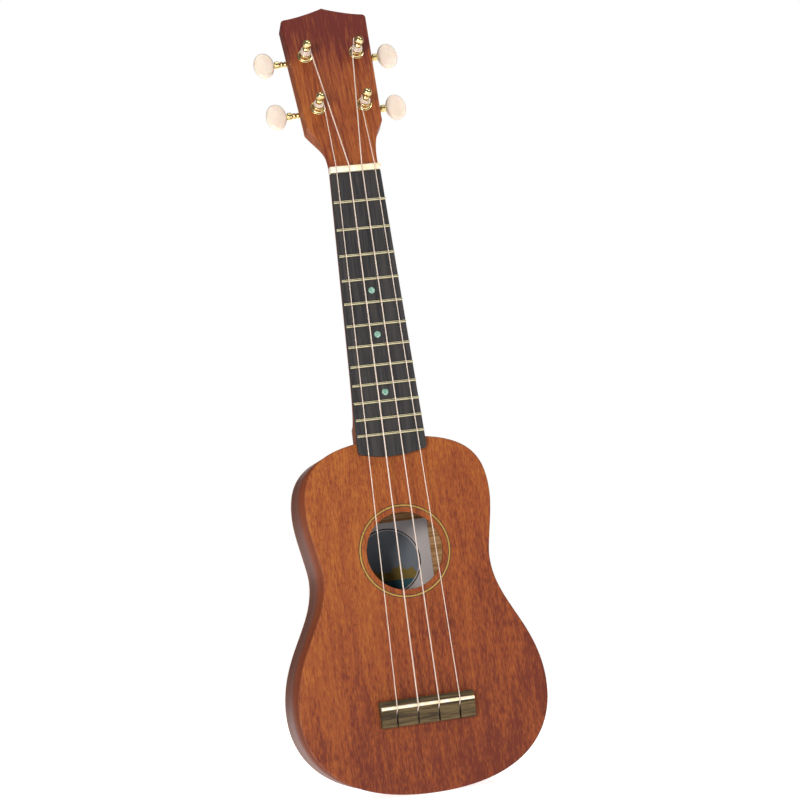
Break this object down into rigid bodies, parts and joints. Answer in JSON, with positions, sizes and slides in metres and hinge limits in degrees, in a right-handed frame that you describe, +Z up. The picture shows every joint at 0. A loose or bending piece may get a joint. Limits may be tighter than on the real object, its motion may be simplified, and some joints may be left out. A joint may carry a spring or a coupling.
{
  "type": "soprano ukulele",
  "caption": "Soprano ukulele: waisted hollow mahogany body with a round sound hole, set neck, rosewood fretboard and bridge, nylon strings and geared tuning machines with oval buttons.",
  "frame": {"origin": "on the centreline where the fretboard meets the nut, on the glue plane that the top of the neck and the front of the soundboard share; a wall hanger's yoke holds the neck here, under the headstock's shoulders", "axes": "+Z runs up the neck towards the headstock, -Y comes out of the soundboard towards the player's hand, +X is the treble side"},
  "size_m": [0.165, 0.0742, 0.5335],
  "materials": {
    "body_mahogany": "open-pored mahogany plywood under satin lacquer",
    "neck_mahogany": "solid mahogany under satin lacquer",
    "inner_spruce": "bare planed softwood",
    "fretboard_rosewood": "oiled dark rosewood, straight grained",
    "bridge_rosewood": "dry brown rosewood with dark streaks",
    "rosette_inlay": "pressed ring, a gold line between two black ones",
    "bone": "polished imitation bone",
    "abalone": "imitation abalone shell",
    "fret_wire": "drawn nickel silver, polished crown",
    "gold_plate": "gold-plated steel and brass",
    "button_plastic": "moulded cream plastic with a faint pearl",
    "string_nylon": "extruded nylon monofilament, milky and slightly clear",
    "label_paper": "printed paper, plain ring and landscape shapes with no lettering"
  },
  "bodies": {
    "instrument": {"soundboard": "body_mahogany", "side_bass": "body_mahogany", "side_treble": "body_mahogany", "back_plate": "body_mahogany", "neck": "neck_mahogany", "neck_block": "inner_spruce", "tail_block": "inner_spruce", "lining_front_bass": "inner_spruce", "lining_front_treble": "inner_spruce", "lining_back_bass": "inner_spruce", "lining_back_treble": "inner_spruce", "soundboard_brace_upper": "inner_spruce", "soundboard_brace_lower": "inner_spruce", "back_brace": "inner_spruce", "bridge_plate": "bridge_rosewood", "label": "label_paper", "rosette": "rosette_inlay", "fretboard": "fretboard_rosewood", "fret_01": "fret_wire", "fret_02": "fret_wire", "fret_03": "fret_wire", "fret_04": "fret_wire", "fret_05": "fret_wire", "fret_06": "fret_wire", "fret_07": "fret_wire", "fret_08": "fret_wire", "fret_09": "fret_wire", "fret_10": "fret_wire", "fret_11": "fret_wire", "fret_12": "fret_wire", "position_dot_5": "abalone", "position_dot_7": "abalone", "position_dot_10": "abalone", "nut": "bone", "saddle": "bone", "bridge": "bridge_rosewood", "string_g": "string_nylon", "string_c": "string_nylon", "string_e": "string_nylon", "string_a": "string_nylon", "tuner_g_plate": "gold_plate", "tuner_g_bushing": "gold_plate", "tuner_c_plate": "gold_plate", "tuner_c_bushing": "gold_plate", "tuner_e_plate": "gold_plate", "tuner_e_bushing": "gold_plate", "tuner_a_plate": "gold_plate", "tuner_a_bushing": "gold_plate"},
    "tuner_g_knob": {"tuner_g_shaft": "gold_plate", "tuner_g_button": "button_plastic"},
    "tuner_c_knob": {"tuner_c_shaft": "gold_plate", "tuner_c_button": "button_plastic"},
    "tuner_e_knob": {"tuner_e_shaft": "gold_plate", "tuner_e_button": "button_plastic"},
    "tuner_a_knob": {"tuner_a_shaft": "gold_plate", "tuner_a_button": "button_plastic"},
    "tuner_g_winder": {"tuner_g_post": "gold_plate"},
    "tuner_c_winder": {"tuner_c_post": "gold_plate"},
    "tuner_e_winder": {"tuner_e_post": "gold_plate"},
    "tuner_a_winder": {"tuner_a_post": "gold_plate"}
  },
  "joints": [
    {"name": "tuner_g_turn", "type": "hinge", "parent": "instrument", "child": "tuner_g_knob", "pos_m": [-0.01593, 0.03359, 0.04985], "axis": [1, 0, 0], "continuous": true},
    {"name": "tuner_c_turn", "type": "hinge", "parent": "instrument", "child": "tuner_c_knob", "pos_m": [-0.01775, 0.04638, 0.08922], "axis": [1, 0, 0], "continuous": true},
    {"name": "tuner_e_turn", "type": "hinge", "parent": "instrument", "child": "tuner_e_knob", "pos_m": [0.01775, 0.04638, 0.08922], "axis": [1, 0, 0], "continuous": true},
    {"name": "tuner_a_turn", "type": "hinge", "parent": "instrument", "child": "tuner_a_knob", "pos_m": [0.01593, 0.03359, 0.04985], "axis": [1, 0, 0], "continuous": true},
    {"name": "tuner_g_wind", "type": "hinge", "parent": "instrument", "child": "tuner_g_winder", "pos_m": [-0.01593, 0.01452, 0.0492], "axis": [0, -0.9511, 0.309], "continuous": true},
    {"name": "tuner_c_wind", "type": "hinge", "parent": "instrument", "child": "tuner_c_winder", "pos_m": [-0.01775, 0.02732, 0.08857], "axis": [0, -0.9511, 0.309], "continuous": true},
    {"name": "tuner_e_wind", "type": "hinge", "parent": "instrument", "child": "tuner_e_winder", "pos_m": [0.01775, 0.02732, 0.08857], "axis": [0, -0.9511, 0.309], "continuous": true},
    {"name": "tuner_a_wind", "type": "hinge", "parent": "instrument", "child": "tuner_a_winder", "pos_m": [0.01593, 0.01452, 0.0492], "axis": [0, -0.9511, 0.309], "continuous": true}
  ],
  "couplings": [
    {"joint": "tuner_g_wind", "follows": "tuner_g_turn", "ratio": 0.071429},
    {"joint": "tuner_c_wind", "follows": "tuner_c_turn", "ratio": 0.071429},
    {"joint": "tuner_e_wind", "follows": "tuner_e_turn", "ratio": 0.071429},
    {"joint": "tuner_a_wind", "follows": "tuner_a_turn", "ratio": 0.071429}
  ]
}
